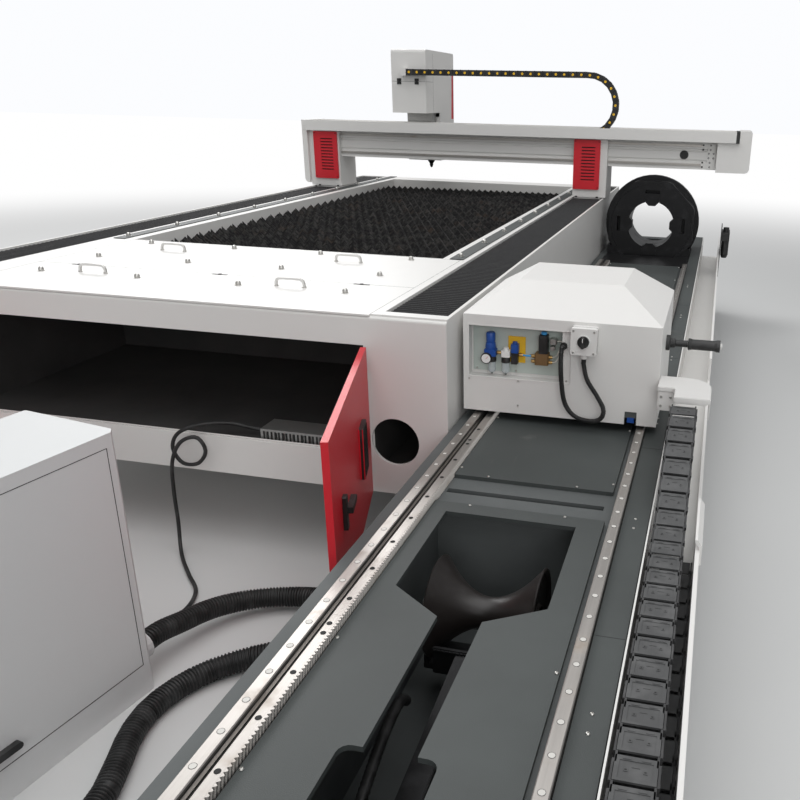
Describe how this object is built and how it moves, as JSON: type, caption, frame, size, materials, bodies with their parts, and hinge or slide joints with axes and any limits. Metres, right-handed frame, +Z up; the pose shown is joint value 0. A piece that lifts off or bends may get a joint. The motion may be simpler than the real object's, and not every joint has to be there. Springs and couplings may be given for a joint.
{
  "type": "fiber laser cutting machine",
  "caption": "Sheet and tube laser cutter: flat bed with lids and a slat table under a gantry, beside a long tube bed with chucks, support roller and drag chain, and a floor cabinet.",
  "frame": {"origin": "middle of the machine's footprint, on the floor", "axes": "+Y along the beds, from the operator's end to the gantry; +X across them, towards the tube bed; +Z up"},
  "size_m": [3.286, 7.6, 1.92],
  "materials": {
    "white_paint": "smooth satin white paint with a faint texture",
    "cabinet_paint": "fine textured light grey powder coat",
    "red_paint": "satin red powder coat",
    "frame_paint": "dark grey textured paint, dusty",
    "deck_paint": "grey-green satin paint",
    "ground_steel": "ground bright steel",
    "bare_metal": "bare machined metal",
    "black_steel": "blackened machined steel",
    "roller_coating": "dark coated roller, worn at the saddle",
    "slat_steel": "scorched sheet steel",
    "bellows_cloth": "matt black coated cloth",
    "chain_plastic": "black and grey moulded links",
    "hose_rubber": "black corrugated hose and cable jacket",
    "black_plastic": "black moulded plastic"
  },
  "bodies": {
    "base": {"tube_bed_frame": "frame_paint", "tube_rail_left": "ground_steel", "tube_rail_right": "ground_steel", "tube_rack": "ground_steel", "deck_front": "deck_paint", "deck_rear": "deck_paint", "cover_plate": "deck_paint", "cable_trough": "white_paint", "tube_chain": "chain_plastic", "front_chuck_body": "black_steel", "air_unit": "black_plastic", "sheet_bed_body": "white_paint", "front_fascia": "white_paint", "lid_front": "white_paint", "lid_rear": "white_paint", "slat_table": "slat_steel", "strip_right": "deck_paint", "strip_left": "deck_paint", "power_supply": "bare_metal", "bellows_front_right": "bellows_cloth", "bellows_rear_right": "bellows_cloth", "bellows_front_left": "bellows_cloth", "bellows_rear_left": "bellows_cloth", "cabinet_body": "cabinet_paint", "conduit_1": "hose_rubber", "conduit_2": "hose_rubber", "sill_cable": "hose_rubber"},
    "gantry": {"gantry_beam": "white_paint", "gantry_cover": "white_paint", "leg_right": "white_paint", "leg_left": "white_paint", "vent_right": "red_paint", "vent_left": "red_paint", "gantry_end_box": "white_paint", "gantry_end_plate": "white_paint", "x_chain": "chain_plastic"},
    "head": {"x_carriage": "bare_metal", "head_housing": "white_paint"},
    "cutting_head": {"cutting_head": "black_steel"},
    "rear_chuck": {"rear_carriage": "frame_paint", "hood": "white_paint", "air_panel": "white_paint", "switch_box": "white_paint", "chain_bracket": "white_paint", "control_cord": "black_plastic"},
    "rear_rotor": {"rear_rotor": "black_steel"},
    "selector_knob": {"selector_knob": "black_plastic"},
    "push_handle": {"push_handle": "black_plastic"},
    "front_rotor": {"front_rotor": "black_steel"},
    "jaw_top": {"jaw_top": "black_steel"},
    "jaw_bottom": {"jaw_bottom": "black_steel"},
    "jaw_right": {"jaw_right": "black_steel"},
    "jaw_left": {"jaw_left": "black_steel"},
    "lift_arm": {"lift_arm": "black_steel"},
    "roller": {"roller": "roller_coating"},
    "bay_door_right": {"bay_door_right": "red_paint"},
    "bay_handle": {"bay_handle": "black_plastic"},
    "bay_door_left": {"bay_door_left": "red_paint"},
    "cabinet_door": {"cabinet_door": "cabinet_paint"},
    "cabinet_handle": {"cabinet_handle": "black_plastic"}
  },
  "joints": [
    {"name": "gantry_y", "type": "slide", "parent": "base", "child": "gantry", "axis": [0, 1, 0], "range_m": [-2.85, 0.1], "deforming": ["bellows_front_right", "bellows_front_left", "bellows_rear_right", "bellows_rear_left"]},
    {"name": "head_x", "type": "slide", "parent": "gantry", "child": "head", "axis": [1, 0, 0], "range_m": [-0.35, 1.85], "deforming": ["x_chain"]},
    {"name": "head_z", "type": "slide", "parent": "head", "child": "cutting_head", "axis": [0, 0, 1], "range_m": [-0.16, 0]},
    {"name": "rear_chuck_y", "type": "slide", "parent": "base", "child": "rear_chuck", "axis": [0, 1, 0], "range_m": [-2.7, 2.2], "deforming": ["tube_chain"]},
    {"name": "front_chuck_spin", "type": "hinge", "parent": "base", "child": "front_rotor", "pos_m": [1.009, 2.78, 0.79], "axis": [0, 1, 0], "continuous": true},
    {"name": "rear_chuck_spin", "type": "hinge", "parent": "rear_chuck", "child": "rear_rotor", "pos_m": [1.009, -0.03, 0.79], "axis": [0, 1, 0], "continuous": true},
    {"name": "jaw_top_slide", "type": "slide", "parent": "front_rotor", "child": "jaw_top", "axis": [0, 0, -1], "range_m": [-0.02, 0.075]},
    {"name": "jaw_bottom_slide", "type": "slide", "parent": "front_rotor", "child": "jaw_bottom", "axis": [0, 0, 1], "range_m": [-0.02, 0.075]},
    {"name": "jaw_right_slide", "type": "slide", "parent": "front_rotor", "child": "jaw_right", "axis": [-1, 0, 0], "range_m": [-0.02, 0.075]},
    {"name": "jaw_left_slide", "type": "slide", "parent": "front_rotor", "child": "jaw_left", "axis": [1, 0, 0], "range_m": [-0.02, 0.075]},
    {"name": "arm_lift", "type": "hinge", "parent": "base", "child": "lift_arm", "pos_m": [1.009, -2.14, 0.3], "axis": [1, 0, 0], "range_deg": [-2, 24]},
    {"name": "roller_spin", "type": "hinge", "parent": "lift_arm", "child": "roller", "pos_m": [1.009, -1.48, 0.43], "axis": [1, 0, 0], "continuous": true},
    {"name": "selector_turn", "type": "hinge", "parent": "rear_chuck", "child": "selector_knob", "pos_m": [1.088, -0.644, 0.893], "axis": [0, 1, 0], "range_deg": [-45, 45]},
    {"name": "push_handle_spin", "type": "hinge", "parent": "rear_chuck", "child": "push_handle", "pos_m": [1.407, -0.35, 0.83], "axis": [1, 0, 0], "continuous": true},
    {"name": "bay_door_right_swing", "type": "hinge", "parent": "base", "child": "bay_door_right", "pos_m": [0.373, -0.722, 0.58], "axis": [0, 0, 1], "range_deg": [-99.9, 3]},
    {"name": "bay_handle_turn", "type": "hinge", "parent": "bay_door_right", "child": "bay_handle", "pos_m": [0.57152, -1.34102, 0.575], "axis": [0.9568, 0.2907, 0], "range_deg": [0, 90]},
    {"name": "bay_door_left_swing", "type": "hinge", "parent": "base", "child": "bay_door_left", "pos_m": [-1.313, -0.722, 0.58], "axis": [0, 0, 1], "range_deg": [-3, 106.9]},
    {"name": "cabinet_door_swing", "type": "hinge", "parent": "base", "child": "cabinet_door", "pos_m": [0.0054, -1.4932, 0.4], "axis": [0, 0, 1], "range_deg": [0, 90]},
    {"name": "cabinet_handle_turn", "type": "hinge", "parent": "cabinet_door", "child": "cabinet_handle", "pos_m": [-0.0731, -1.9477, 0.14], "axis": [0.9854, -0.1702, 0], "range_deg": [0, 90]}
  ],
  "couplings": [
    {"joint": "rear_chuck_spin", "follows": "front_chuck_spin", "ratio": 1},
    {"joint": "jaw_bottom_slide", "follows": "jaw_top_slide", "ratio": 1},
    {"joint": "jaw_left_slide", "follows": "jaw_right_slide", "ratio": 1}
  ]
}
